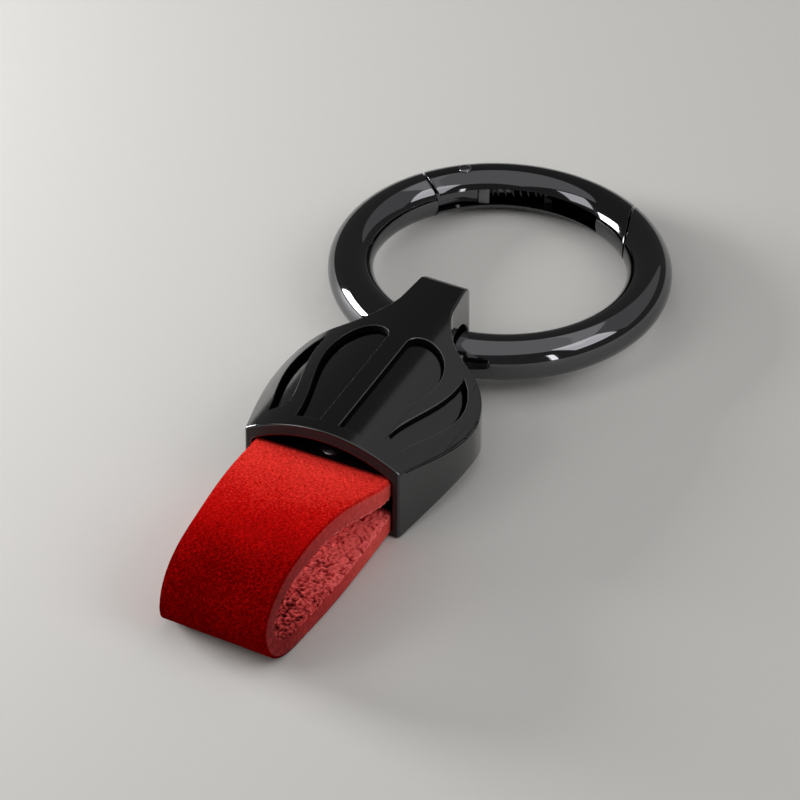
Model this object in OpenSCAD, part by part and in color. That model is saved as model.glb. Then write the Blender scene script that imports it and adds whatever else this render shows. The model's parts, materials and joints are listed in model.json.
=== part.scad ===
// Carabiner keyring: a leather strap loop clamped in a cast end fitting, and a
// round spring-gate ring that swings in the eye of the fitting.
// X runs across the fitting, Y from the strap towards the ring, Z up.
// The origin is on the flat underside of the fitting, below its widest point.

/* [Fitting] */
// Distance from the mouth to the widest point
widest_l = 11.2; // [9:0.1:14]
// Distance from the widest point to where the shoulders turn into the neck
shoulder_run = 6; // [4.5:0.1:8]
// Length of the neck, from the shoulders to the end of the eye
neck_l = 11; // [9:0.1:15]
// Side wall of the mouth
side_wall = 0.75; // [0.6:0.05:1.5]
// How much wider than the mouth the widest point is, on each side
flare = 2.3; // [1.5:0.1:4]
// Width where the shoulders turn into the neck
shoulder_w = 14.4; // [12:0.1:17]
// Width of the neck beside the eye
neck_w = 5.2; // [4.2:0.1:6.4]
// Width of the end of the eye
tip_w = 4.7; // [3.8:0.1:6]
// Radius of the crowned top across the fitting
crown_r = 15.2; // [13:0.1:24]
// Radius of the rounded top edge at the end of the eye
tip_round = 3.2; // [1:0.1:3.6]
// Slope of the underside below the flared sides, from flat
base_slope = 40; // [20:1:45]
// Thickness of the crown over the cavity
crown_wall = 1.4; // [1.1:0.05:1.8]
// Thickness of the floor under the cavity
floor_wall = 0.85; // [0.7:0.05:1.2]
// Side clearance of the strap in the cavity
cavity_clear = 0.2; // [0.1:0.05:0.3]
// Clearance between the long edges of the strap and the arched ceiling
ceiling_clear = 0.06; // [0.03:0.01:0.3]
// Room behind the strap ends in the cavity
cavity_end_clear = 1; // [0.3:0.1:2]

/* [Eye] */
// Radial clearance of the ring wire in the eye
eye_clear = 0.65; // [0.5:0.05:0.9]
// Wall under the eye
eye_floor = 0.9; // [0.7:0.05:1.2]
// Wall at the end of the eye
eye_end_wall = 1.3; // [1:0.05:1.8]

/* [Petals] */
// Depth of the four petal recesses in the crown
petal_depth = 0.6; // [0.3:0.05:0.8]
// Width of the middle rib between the inner petals
rib_w = 2.1; // [1.4:0.1:3]

/* [Strap] */
// Width of the leather strap
strap_w = 14.6; // [12:0.1:17.6]
// Width of the strap at its fold
fold_w = 12.4; // [10:0.1:17.6]
// Thickness of the leather
strap_t = 2.2; // [1.8:0.05:2.7]
// Gap between the two strands inside the mouth
strand_gap = 1.5; // [0.6:0.1:1.9]
// Length of each strand inside the mouth
strap_in = 9; // [7:0.1:11]
// Length of the loop outside the mouth
loop_l = 24.1; // [20:0.1:36]
// Height of the loop
loop_h = 9.5; // [7.9:0.1:12]

/* [Clamp post and screw] */
// Distance of the post from the mouth
post_y = 2.3; // [2:0.1:4]
// Diameter of the domed head of the post
post_head_d = 3; // [2.6:0.1:3.6]
// Height of the domed head of the post
post_head_h = 0.7; // [0.4:0.05:0.9]
// Depth that the head is let into the leather
post_sink = 0.3; // [0.1:0.05:0.4]
// Diameter of the post
post_d = 2.1; // [1.9:0.1:2.3]
// Diameter of the screw thread
screw_d = 1.4; // [1:0.1:1.5]
// Diameter of the countersunk screw head
screw_head_d = 2.7; // [2.3:0.1:3]
// Height of the countersunk screw head
screw_head_h = 0.65; // [0.5:0.05:0.7]

/* [Ring] */
// Inside diameter of the ring
ring_id = 25; // [20:0.5:32]
// Diameter of the ring wire
wire_d = 4.5; // [3.7:0.05:5.5]
// Angle of the hinge pin round the ring, from +X
hinge_angle = 130; // [120:1:140]
// Angle of the middle of the slanted latch seam
latch_angle = 55; // [45:1:65]
// Slant of the latch seam from a square cut
latch_slant = 50; // [44:1:54]
// Radius of the rounded hinge seam about the pin
tail_r = 4.1; // [3.6:0.1:4.6]
// Gap in the seams
seam_gap = 0.15; // [0.1:0.01:0.25]

/* [Gate] */
// Thickness of the hinge tongue
tongue_t = 1.6; // [1.2:0.05:2]
// Half width of the hinge tongue
tongue_hw = 1.3; // [1.1:0.05:1.3]
// Distance from the pin to the flat end of the tongue
cam_l = 1.35; // [1.3:0.05:1.6]
// Side clearance of the tongue in the gate channel
channel_clear = 0.15; // [0.1:0.01:0.2]
// Outer wall of the hollow gate
gate_web = 0.55; // [0.45:0.05:0.7]
// Angle where the hollow of the gate ends
channel_end = 67; // [62:1:75]
// Diameter of the hinge pin
pin_d = 1.3; // [1:0.1:1.5]
// Radial running clearance of the pin in the gate
pin_clear = 0.05; // [0.02:0.01:0.1]
// Height of the domed ends of the pin above the wire
pin_dome = 0.15; // [0.05:0.05:0.25]
// Thickness of the plunger head
plunger_t = 1.1; // [0.8:0.1:1.4]
// Length of the plunger stem
stem_l = 2.4; // [1.5:0.1:3]
// Diameter of the plunger stem
stem_d = 0.7; // [0.5:0.1:0.8]
// Gap between the plunger and its neighbours
plunger_gap = 0.08; // [0.05:0.01:0.12]
// Distance from the pin to the seat at the far end of the spring
spring_reach = 8; // [7:0.1:9]
// Outside diameter of the spring
spring_d = 1.5; // [1.3:0.1:1.6]
// Diameter of the spring wire
spring_wire = 0.24; // [0.2:0.01:0.3]
// Number of turns in the spring
spring_turns = 8; // [6:1:10]

/* [Hidden] */

$fn = 96;
eps = 0.02;
curve_steps = 12;

// Widths and lengths of the fitting
cavity_w = strap_w + 2 * cavity_clear;
cavity_l = strap_in + cavity_end_clear;
mouth_w = cavity_w + 2 * side_wall;
body_w = mouth_w + 2 * flare;
shoulder_l = widest_l + shoulder_run;
fitting_l = shoulder_l + neck_l;
mouth_y = -widest_l;
tip_y = mouth_y + fitting_l;

// Strap levels, and the crown that arches over the strap
lower_z = floor_wall + strap_t / 2;
upper_z = lower_z + strap_t + strand_gap;
strap_top = upper_z + strap_t / 2;
ceiling_r = crown_r - crown_wall;
axis_z = strap_top + ceiling_clear - sqrt(pow(ceiling_r, 2) - pow(strap_w / 2, 2));
crown_h = axis_z + crown_r;

// Ring and eye: the ring wire lies on the axis of the eye, and the far side of
// the ring rests on the table
wire_r = wire_d / 2;
ring_r = (ring_id + wire_d) / 2;
eye_r = wire_r + eye_clear;
eye_y = tip_y - eye_end_wall - eye_r;
eye_z = eye_floor + eye_r;
ring_tilt = asin((eye_z - wire_r) / (2 * ring_r));

// Gate hollow
channel_h = tongue_t + 2 * channel_clear;
channel_out = wire_r - gate_web;
spring_lean = asin(spring_reach / (2 * ring_r));
plunger_y = -cam_l - plunger_gap;
spring_start = -plunger_y + plunger_t + plunger_gap;
spring_len = spring_reach - spring_start - plunger_gap;
seat_t = 0.8;
spring_axis = 0.15;

// Cubic curve through its two end points, pulled towards the two between them
function bez(p, t) = pow(1 - t, 3) * p[0] + 3 * pow(1 - t, 2) * t * p[1]
    + 3 * (1 - t) * t * t * p[2] + pow(t, 3) * p[3];
function curve(p, n = curve_steps) = [for (i = [0:n - 1]) bez(p, i / n)];
function mirrored(p) = [for (i = [len(p) - 1:-1:0]) [-p[i][0], p[i][1]]];

// Right half of the outline of the fitting, from the mouth to the tip. The two
// curves at a shoulder leave it both ways along shoulder_pull.
tip_corner = 1.3;
shoulder_pull = [2.4, -0.9];
neck_pull = [0.6, -3.4];
waist_l = 0.58 * neck_l;
half_outline = concat(
    curve([[mouth_w / 2, 0], [mouth_w / 2 + 0.4 * flare, 0.32 * widest_l],
        [body_w / 2, 0.66 * widest_l], [body_w / 2, widest_l]]),
    curve([[body_w / 2, widest_l], [body_w / 2, widest_l + 0.45 * shoulder_run],
        [shoulder_w / 2, shoulder_l] + shoulder_pull, [shoulder_w / 2, shoulder_l]]),
    curve([[shoulder_w / 2, shoulder_l], [shoulder_w / 2, shoulder_l] - 0.83 * shoulder_pull,
        [neck_w / 2, shoulder_l + waist_l] + neck_pull, [neck_w / 2, shoulder_l + waist_l]]),
    curve([[tip_w / 2, fitting_l - tip_corner], [tip_w / 2, fitting_l - tip_corner / 2],
        [tip_w / 2 - tip_corner / 2, fitting_l], [tip_w / 2 - tip_corner, fitting_l]], 4),
    [[tip_w / 2 - tip_corner, fitting_l]]);

// Petal outlines follow the body: u is a share of its half width, v of its shoulder length
function at(u, v) = [u * body_w / 2, v * shoulder_l];
inner_petal = concat(
    curve([[rib_w / 2, 0.95 * shoulder_l], at(0.14, 1.06), at(0.53, 1.04), at(0.565, 0.78)]),
    curve([at(0.565, 0.78), at(0.59, 0.59), at(0.37, 0.37), at(0.34, 0.095)]),
    [at(0.34, 0.095), [rib_w / 2, 0.09 * shoulder_l]]);
outer_petal = concat(
    curve([at(0.71, 0.91), at(0.75, 0.61), at(0.5, 0.38), at(0.51, 0.14)]),
    curve([at(0.67, 0.15), at(0.71, 0.33), at(1.07, 0.71), at(0.71, 0.91)]));

// Middle line of the strap loop, from the end of the upper strand round to the
// end of the lower one; x is along the strap from the mouth, y is height
bend_x = strap_t / 2 - loop_l;
top_x = -0.64 * loop_l;
top_z = loop_h - strap_t / 2;
floor_z = strap_t / 2;
strap_line = concat(
    [[strap_in, upper_z]],
    curve([[0, upper_z], [0.23 * top_x, upper_z + 0.1], [0.6 * top_x, top_z], [top_x, top_z]]),
    curve([[top_x, top_z], [0.4 * top_x + 0.6 * bend_x, top_z], [bend_x, 0.78 * top_z],
        [bend_x, 0.47 * top_z]]),
    curve([[bend_x, 0.47 * top_z], [bend_x, 0.22 * top_z], [0.9 * bend_x, floor_z],
        [0.76 * bend_x, floor_z]]),
    curve([[0.76 * bend_x, floor_z], [0.5 * bend_x, floor_z], [0.25 * bend_x, lower_z],
        [0, lower_z]]),
    [[0, lower_z], [strap_in, lower_z]]);
function unit(v) = v / norm(v);
function side(p, i) = let(a = p[max(i - 1, 0)], b = p[min(i + 1, len(p) - 1)], d = unit(b - a))
    [d[1], -d[0]];
function shifted(p, d) = [for (i = [0:len(p) - 1]) p[i] + d * side(p, i)];
function turned(p) = [for (i = [len(p) - 1:-1:0]) p[i]];
strap_band = concat(shifted(strap_line, strap_t / 2), turned(shifted(strap_line, -strap_t / 2)));

// A solid cylinder along Y that is concentric with the crowned top
module crown_cylinder(r) {
    translate([0, mouth_y - 1, axis_z])
        rotate([-90, 0, 0])
            cylinder(r = r, h = fitting_l + 2, $fn = 180);
}

// Side view of the fitting, extruded across it: the end of the eye is rounded
module side_block() {
    h = crown_h + 1;
    top_y = fitting_l - tip_round;
    translate([-body_w, mouth_y, 0])
        rotate([90, 0, 90])
            linear_extrude(height = 2 * body_w) {
                square([top_y, h]);
                square([fitting_l, crown_h - tip_round]);
                translate([top_y, crown_h - tip_round])
                    circle(r = tip_round);
            }
}

// Everything under the flared sides: the flat underside is as wide as the mouth
module belly_cut() {
    for (s = [0, 1])
        mirror([s, 0, 0])
            translate([mouth_w / 2, mouth_y - 1, 0])
                rotate([0, -base_slope, 0])
                    translate([0, 0, -body_w])
                        cube([2 * body_w, fitting_l + 2, body_w]);
}

module petal_cut(points) {
    for (s = [-1, 1])
        translate([0, mouth_y, 0])
            linear_extrude(height = crown_h + 1)
                polygon([for (p = points) [s * p[0], p[1]]]);
}

// Cross-section of the cavity: flat floor, arched ceiling
module cavity() {
    translate([0, mouth_y - 1, 0])
        intersection() {
            translate([-cavity_w / 2, 0, floor_wall])
                cube([cavity_w, cavity_l + 1, crown_h]);
            translate([0, 1 - mouth_y, 0])
                crown_cylinder(ceiling_r);
        }
}

// Cast end fitting with petal recesses, strap cavity and eye
module fitting_body() {
    color([0.11, 0.11, 0.12])
        difference() {
            intersection() {
                translate([0, mouth_y, 0])
                    linear_extrude(height = crown_h + 1)
                        polygon(concat(half_outline, mirrored(half_outline)));
                crown_cylinder(crown_r);
                side_block();
            }
            difference() {
                union() {
                    petal_cut(inner_petal);
                    petal_cut(outer_petal);
                }
                crown_cylinder(crown_r - petal_depth);
            }
            cavity();
            belly_cut();
            translate([-body_w / 2, eye_y, eye_z])
                rotate([0, 90, 0])
                    cylinder(r = eye_r, h = body_w);
            translate([0, mouth_y + post_y, 0])
                screw_hole();
        }
}

// Countersunk hole in the floor of the fitting
module screw_hole() {
    translate([0, 0, -eps])
        cylinder(d1 = screw_head_d + 0.1 + 2 * eps, d2 = screw_d + 0.1, h = screw_head_h + eps);
    cylinder(d = screw_d + 0.1, h = floor_wall + eps);
}

// Half of the strap seen from above: full width in the mouth, narrower at the fold
strap_side = concat([[strap_w / 2, strap_in + 1]],
    curve([[strap_w / 2, -0.1 * loop_l], [strap_w / 2, -0.45 * loop_l],
        [fold_w / 2, -0.55 * loop_l], [fold_w / 2, -0.9 * loop_l]]),
    [[fold_w / 2, -loop_l - 1]]);

// Leather strap, folded into a loop, with the hole for the post in both strands
module leather_strap() {
    color([0.72, 0.04, 0.05])
        difference() {
            translate([0, mouth_y, 0])
                intersection() {
                    translate([-strap_w, 0, 0])
                        rotate([90, 0, 90])
                            linear_extrude(height = 2 * strap_w)
                                polygon(strap_band);
                    linear_extrude(height = 2 * loop_h)
                        polygon(concat(strap_side, mirrored(strap_side)));
                }
            translate([0, mouth_y + post_y, 0]) {
                translate([0, 0, -1])
                    cylinder(d = post_d + 0.1, h = strap_top + 2);
                translate([0, 0, strap_top - post_sink])
                    cylinder(d = post_head_d + 0.2, h = 2);
            }
        }
}

// Domed post that stands in both strands; its foot rests on the floor
module clamp_post() {
    head_z = strap_top - post_sink;
    dome_r = (pow(post_head_d / 2, 2) + pow(post_head_h, 2)) / (2 * post_head_h);
    color([0.62, 0.62, 0.64])
        translate([0, mouth_y + post_y, 0])
            difference() {
                union() {
                    translate([0, 0, floor_wall])
                        cylinder(d = post_d, h = head_z - floor_wall + eps);
                    intersection() {
                        translate([0, 0, head_z])
                            cylinder(d = post_head_d, h = post_head_h);
                        translate([0, 0, head_z + post_head_h - dome_r])
                            sphere(r = dome_r);
                    }
                }
                translate([0, 0, floor_wall - eps])
                    cylinder(d = screw_d + 0.04, h = strap_top - floor_wall - 1);
            }
}

// Slotted countersunk screw, driven into the post from below
module clamp_screw() {
    slot_w = 0.4;
    slot_h = 0.3;
    reach = strap_top - 1.4;
    color([0.2, 0.2, 0.21])
        translate([0, mouth_y + post_y, 0])
            difference() {
                union() {
                    cylinder(d1 = screw_head_d, d2 = screw_d, h = screw_head_h);
                    cylinder(d = screw_d, h = reach);
                }
                translate([-screw_head_d, -slot_w / 2, -eps])
                    cube([2 * screw_head_d, slot_w, slot_h + eps]);
            }
}

// Places its children in the frame of the ring: its centre, its axis along Z
module ring_frame() {
    translate([0, eye_y + ring_r * cos(ring_tilt), eye_z - ring_r * sin(ring_tilt)])
        rotate([-ring_tilt, 0, 0])
            children();
}

// Frame at the hinge pin: X outwards, -Y along the gate
module hinge_frame(lean = 0) {
    rotate([0, 0, hinge_angle])
        translate([ring_r, 0, 0])
            rotate([0, 0, -lean])
                children();
}

// Round wire from one angle to another
module wire_arc(from, to) {
    rotate([0, 0, from])
        rotate_extrude(angle = to - from)
            translate([ring_r, 0])
                circle(r = wire_r, $fn = 64);
}

// Flat band that follows the ring, from radius r1 to r2 and h high
module flat_arc(from, to, r1, r2, h) {
    rotate([0, 0, from])
        rotate_extrude(angle = to - from)
            translate([r1, -h / 2])
                square([r2 - r1, h]);
}

// Everything on one side of the slanted latch seam: the gate's side or the ring's
module latch_side(gate_side) {
    reach = 4 * wire_d;
    rotate([0, 0, latch_angle])
        translate([ring_r, 0, 0])
            rotate([0, 0, latch_slant])
                translate([-reach, gate_side ? -seam_gap / 2 : -reach + seam_gap / 2, -wire_d])
                    cube([2 * reach, reach, 2 * wire_d]);
}

// Round cut about the pin that ends the ring and the gate at the hinge seam
module tail_cylinder(r) {
    hinge_frame()
        translate([0, 0, -wire_d])
            cylinder(r = r, h = 2 * wire_d);
}

// Flat tongue at the hinge end of the ring: a band, a round end and a flat cam
module tongue() {
    tail_angle = asin((tail_r + 0.8) / (2 * ring_r)) * 2;
    flat_arc(hinge_angle, hinge_angle + tail_angle, ring_r - tongue_hw, ring_r + tongue_hw, tongue_t);
    hinge_frame()
        translate([0, 0, -tongue_t / 2])
            cylinder(r = tongue_hw, h = tongue_t);
    hinge_frame(spring_lean)
        translate([-tongue_hw, -cam_l, -tongue_t / 2])
            cube([tongue_hw, cam_l, tongue_t]);
}

// Ring wire between the two seams, with the hinge tongue
module ring_body() {
    arc_spare = 30;
    color([0.16, 0.16, 0.17])
        ring_frame()
            difference() {
                union() {
                    difference() {
                        wire_arc(hinge_angle + 2, latch_angle + arc_spare + 360);
                        tail_cylinder(tail_r + seam_gap);
                        intersection() {
                            latch_side(true);
                            rotate([0, 0, latch_angle - arc_spare])
                                rotate_extrude(angle = 3 * arc_spare)
                                    translate([ring_r - wire_d, -wire_d])
                                        square([2 * wire_d, 2 * wire_d]);
                        }
                    }
                    tongue();
                }
                hinge_frame()
                    translate([0, 0, -wire_d])
                        cylinder(d = pin_d + eps, h = 2 * wire_d);
            }
}

// Everything beyond the round cut at the hinge seam, on the ring's side
module beyond_tail(to) {
    difference() {
        flat_arc(hinge_angle + 4, to, ring_r - wire_d, ring_r + wire_d, 2 * wire_d);
        tail_cylinder(tail_r);
    }
}

// Hollow gate between the seams: open channel on its inner side, solid nose
module gate() {
    nose_angle = latch_angle - 25;
    tail_angle = hinge_angle + 24;
    color([0.14, 0.14, 0.15])
        ring_frame()
            difference() {
                wire_arc(nose_angle, tail_angle);
                latch_side(false);
                beyond_tail(tail_angle + 4);
                difference() {
                    flat_arc(channel_end, tail_angle + 2, ring_r - wire_d, ring_r + channel_out,
                        channel_h);
                    spring_seat();
                }
                hinge_frame()
                    translate([0, 0, -wire_d])
                        cylinder(d = pin_d + 2 * pin_clear, h = 2 * wire_d);
            }
}

// Small rib across the channel that holds the far end of the spring
module spring_seat() {
    hinge_frame(spring_lean)
        translate([-spring_d / 2 - 0.1, -spring_reach - seat_t, -channel_h])
            cube([2 * wire_d, seat_t, 2 * channel_h]);
}

// Riveted hinge pin with domed ends, a little proud of the wire
module gate_pin() {
    dome_r = (pow(pin_d / 2, 2) + pow(pin_dome, 2)) / (2 * pin_dome);
    color([0.3, 0.3, 0.32])
        ring_frame()
            hinge_frame() {
                translate([0, 0, -wire_r])
                    cylinder(d = pin_d, h = wire_d);
                for (s = [0, 1])
                    mirror([0, 0, s])
                        intersection() {
                            translate([0, 0, wire_r - eps])
                                cylinder(d = pin_d, h = wire_r);
                            translate([0, 0, wire_r + pin_dome - dome_r])
                                sphere(r = dome_r);
                        }
            }
}

// Plunger that presses on the flat of the tongue; its stem guides the spring
module gate_plunger() {
    head_h = channel_h - 2 * plunger_gap;
    head_in = 1.5;
    head_out = 0.7;
    color([0.35, 0.35, 0.36])
        ring_frame()
            hinge_frame(spring_lean) {
                translate([-head_in, plunger_y - plunger_t, -head_h / 2])
                    cube([head_in + head_out, plunger_t, head_h]);
                translate([-spring_axis, plunger_y - plunger_t + eps, 0])
                    rotate([90, 0, 0])
                        cylinder(d = stem_d, h = stem_l + eps, $fn = 32);
            }
}

// Compression spring between the plunger and its seat
module gate_spring() {
    mean_r = (spring_d - spring_wire) / 2;
    rise = spring_len - spring_wire;
    color([0.6, 0.6, 0.62])
        ring_frame()
            hinge_frame(spring_lean)
                translate([-spring_axis, -spring_start - spring_wire / 2, 0])
                    rotate([90, 0, 0])
                        linear_extrude(height = rise, twist = 360 * spring_turns,
                            slices = 14 * spring_turns, $fn = 8)
                            translate([mean_r, 0])
                                circle(d = spring_wire, $fn = 8);
}

fitting_body();
leather_strap();
clamp_post();
clamp_screw();
ring_body();
gate();
gate_pin();
gate_plunger();
gate_spring();
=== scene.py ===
"""Looks for the carabiner keyring: leather strap loop, cast end fitting and spring-gate ring."""

import json
import logging
import math
from collections.abc import Callable, Iterable
from dataclasses import dataclass, field
from enum import Enum

import bmesh
import bpy
from mathutils import Matrix, Vector, noise


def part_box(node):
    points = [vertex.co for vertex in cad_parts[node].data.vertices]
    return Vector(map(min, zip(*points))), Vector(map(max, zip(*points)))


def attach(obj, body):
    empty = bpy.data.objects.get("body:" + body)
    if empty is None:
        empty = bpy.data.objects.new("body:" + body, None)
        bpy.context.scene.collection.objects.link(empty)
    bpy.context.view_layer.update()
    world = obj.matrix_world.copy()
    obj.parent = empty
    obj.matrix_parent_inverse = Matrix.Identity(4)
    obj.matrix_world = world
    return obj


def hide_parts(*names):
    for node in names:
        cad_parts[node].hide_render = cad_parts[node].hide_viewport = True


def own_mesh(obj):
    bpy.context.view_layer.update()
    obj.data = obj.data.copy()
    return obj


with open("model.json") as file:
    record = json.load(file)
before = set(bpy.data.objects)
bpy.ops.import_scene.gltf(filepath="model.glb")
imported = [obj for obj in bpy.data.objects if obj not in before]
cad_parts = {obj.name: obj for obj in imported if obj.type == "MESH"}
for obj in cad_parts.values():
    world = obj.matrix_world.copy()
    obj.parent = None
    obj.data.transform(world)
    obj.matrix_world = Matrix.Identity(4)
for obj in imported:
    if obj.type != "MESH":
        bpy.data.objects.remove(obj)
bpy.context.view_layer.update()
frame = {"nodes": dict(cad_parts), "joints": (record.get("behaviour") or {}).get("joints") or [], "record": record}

MM = 0.001
LOG = logging.getLogger("keyring")
Colour = tuple[float, float, float]


class StrapFace(Enum):
    """The three surfaces of the leather, in the order of the strap's material slots."""

    GRAIN = 0
    EDGE = 1
    FLESH = 2


class Element(Enum):
    """What a selection in edit mode picks."""

    VERT = "VERT"
    EDGE = "EDGE"
    FACE = "FACE"


# ---------------------------------------------------------------- modelling


def deselect_all() -> None:
    """Leave edit mode and deselect every object."""
    if bpy.context.object is not None and bpy.context.object.mode != "OBJECT":
        bpy.ops.object.mode_set(mode="OBJECT")
    bpy.ops.object.select_all(action="DESELECT")


def make_active(piece: bpy.types.Object) -> None:
    """Select one object alone and make it the active one.

    Args:
        piece: The object that the next operators act on.
    """
    deselect_all()
    piece.select_set(True)
    bpy.context.view_layer.objects.active = piece


def started(name: str) -> bpy.types.Object:
    """Name the primitive that was just added and put its place into its mesh.

    Args:
        name: Name of the piece and of its mesh.

    Returns:
        The new object, at the origin, unturned and unscaled.
    """
    piece = bpy.context.active_object
    piece.name = name
    piece.data.name = name
    bpy.ops.object.transform_apply(location=True, rotation=True, scale=True)
    return piece


def edit(piece: bpy.types.Object) -> None:
    """Enter edit mode on one piece with nothing selected.

    Args:
        piece: The piece to shape.
    """
    make_active(piece)
    bpy.ops.object.mode_set(mode="EDIT")
    bpy.ops.mesh.select_all(action="DESELECT")


def select_where(piece: bpy.types.Object, element: Element, test: Callable) -> int:
    """Select the elements of a mesh in edit mode that pass a test.

    Args:
        piece: The piece, in edit mode.
        element: Whether vertices, edges or faces are tested.
        test: Function of one bmesh element that says whether to select it.

    Returns:
        How many elements were selected.
    """
    bpy.ops.mesh.select_mode(type=element.value)
    bpy.ops.mesh.select_all(action="DESELECT")
    mesh = bmesh.from_edit_mesh(piece.data)
    parts = {Element.VERT: mesh.verts, Element.EDGE: mesh.edges, Element.FACE: mesh.faces}
    chosen = [part for part in parts[element] if test(part)]
    for part in chosen:
        part.select_set(True)
    mesh.select_flush_mode()
    bmesh.update_edit_mesh(piece.data)
    return len(chosen)


def apply_modifier(piece: bpy.types.Object, kind: str, **settings: object) -> None:
    """Add a modifier with the given settings and apply it at once.

    Args:
        piece: The piece to change.
        kind: Blender's name of the modifier type.
        settings: Values set on the modifier before it is applied.
    """
    make_active(piece)
    modifier = piece.modifiers.new(kind.title(), kind)
    for key, value in settings.items():
        setattr(modifier, key, value)
    bpy.ops.object.modifier_apply(modifier=modifier.name)


def recalculate(piece: bpy.types.Object, merge: float = 0.0) -> None:
    """Merge doubles if asked, and turn all faces of a piece outwards.

    Args:
        piece: The piece to clean.
        merge: Distance in metres under which vertices are merged; 0 merges none.
    """
    edit(piece)
    bpy.ops.mesh.select_all(action="SELECT")
    if merge > 0:
        bpy.ops.mesh.remove_doubles(threshold=merge)
    bpy.ops.mesh.normals_make_consistent(inside=False)
    bpy.ops.object.mode_set(mode="OBJECT")


def shade(piece: bpy.types.Object, angle_deg: float = 35.0) -> None:
    """Shade a piece smooth, with sharp edges over an angle.

    Args:
        piece: The piece to shade.
        angle_deg: Edges sharper than this stay sharp.
    """
    make_active(piece)
    bpy.ops.object.shade_smooth_by_angle(angle=math.radians(angle_deg), keep_sharp_edges=False)


def bevel_sharp(piece: bpy.types.Object, width: float, segments: int, angle_deg: float) -> None:
    """Round every edge of a piece that is sharper than an angle.

    Args:
        piece: The piece to round.
        width: Width of the rounding in metres.
        segments: Number of faces across the rounding.
        angle_deg: Least angle between two faces whose edge is rounded.
    """
    apply_modifier(
        piece, "BEVEL", width=width, segments=segments, limit_method="ANGLE",
        angle_limit=math.radians(angle_deg), use_clamp_overlap=True, harden_normals=False,
        miter_outer="MITER_ARC",
    )


def join(target: bpy.types.Object, others: Iterable[bpy.types.Object]) -> None:
    """Join other objects into a target.

    Args:
        target: The object that stays.
        others: The objects that become part of it.
    """
    make_active(target)
    for other in others:
        other.select_set(True)
    bpy.ops.object.join()


def cut(piece: bpy.types.Object, cutter: bpy.types.Object) -> None:
    """Cut one closed mesh out of another and remove the cutter.

    Args:
        piece: The piece to cut.
        cutter: The shape that is taken away.
    """
    apply_modifier(piece, "BOOLEAN", operation="DIFFERENCE", solver="EXACT", object=cutter)
    bpy.data.objects.remove(cutter)


def copy_of_node(node: str, name: str) -> bpy.types.Object:
    """Copy a CAD node into a new object of its own, with its doubles merged.

    Args:
        node: Name of the CAD node.
        name: Name of the new piece.

    Returns:
        The copy, free of any parent.
    """
    source = frame["nodes"][node]
    mesh = source.data.copy()
    mesh.name = name
    mesh.materials.clear()
    piece = bpy.data.objects.new(name, mesh)
    bpy.context.scene.collection.objects.link(piece)
    recalculate(piece, merge=0.002 * MM)
    if mesh.has_custom_normals:
        make_active(piece)
        bpy.ops.mesh.customdata_custom_splitnormals_clear()
    return piece


# ---------------------------------------------------------------- shader node groups


class GroupBuilder:
    """Builds one shader node group with named inputs and outputs."""

    def __init__(self, name: str) -> None:
        """Start an empty group.

        Args:
            name: Name of the node group.
        """
        self.tree = bpy.data.node_groups.new(name, "ShaderNodeTree")
        self.entry = self.tree.nodes.new("NodeGroupInput")
        self.exit = self.tree.nodes.new("NodeGroupOutput")

    def takes(self, name: str, kind: str, default: object = None) -> None:
        """Add an input socket.

        Args:
            name: Name of the socket.
            kind: "Float", "Color" or "Vector".
            default: Its default value.
        """
        socket = self.tree.interface.new_socket(
            name=name, in_out="INPUT", socket_type="NodeSocket" + kind)
        if default is not None:
            socket.default_value = default

    def gives(self, name: str, kind: str) -> None:
        """Add an output socket.

        Args:
            name: Name of the socket.
            kind: "Float", "Color" or "Vector".
        """
        self.tree.interface.new_socket(
            name=name, in_out="OUTPUT", socket_type="NodeSocket" + kind)

    def node(self, kind: str, **settings: object) -> bpy.types.Node:
        """Add a node and set its properties, as in add_node."""
        return add_node(self.tree, kind, **settings)

    def link(self, source: bpy.types.NodeSocket, target: bpy.types.NodeSocket) -> None:
        """Join an output socket to an input socket."""
        self.tree.links.new(source, target)


def add_node(tree: bpy.types.NodeTree, kind: str, **settings: object) -> bpy.types.Node:
    """Add a shader node to a tree.

    Args:
        tree: The node tree.
        kind: Type of the node without its "ShaderNode" prefix.
        settings: Properties, or default values of inputs given as in_NAME.

    Returns:
        The new node.
    """
    made = tree.nodes.new("ShaderNode" + kind)
    for key, value in settings.items():
        if key.startswith("in_"):
            made.inputs[key[3:].replace("_", " ")].default_value = value
        else:
            setattr(made, key, value)
    return made


def maths(group: GroupBuilder, operation: str, first: object, second: object) -> object:
    """Add a Math node between sockets or numbers.

    Args:
        group: The group that gets the node.
        operation: Blender's name of the operation.
        first: A socket or a number.
        second: A socket or a number.

    Returns:
        The output socket.
    """
    made = group.node("Math", operation=operation)
    for slot, value in zip(made.inputs, (first, second)):
        if isinstance(value, (int, float)):
            slot.default_value = value
        else:
            group.link(value, slot)
    return made.outputs[0]


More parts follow.
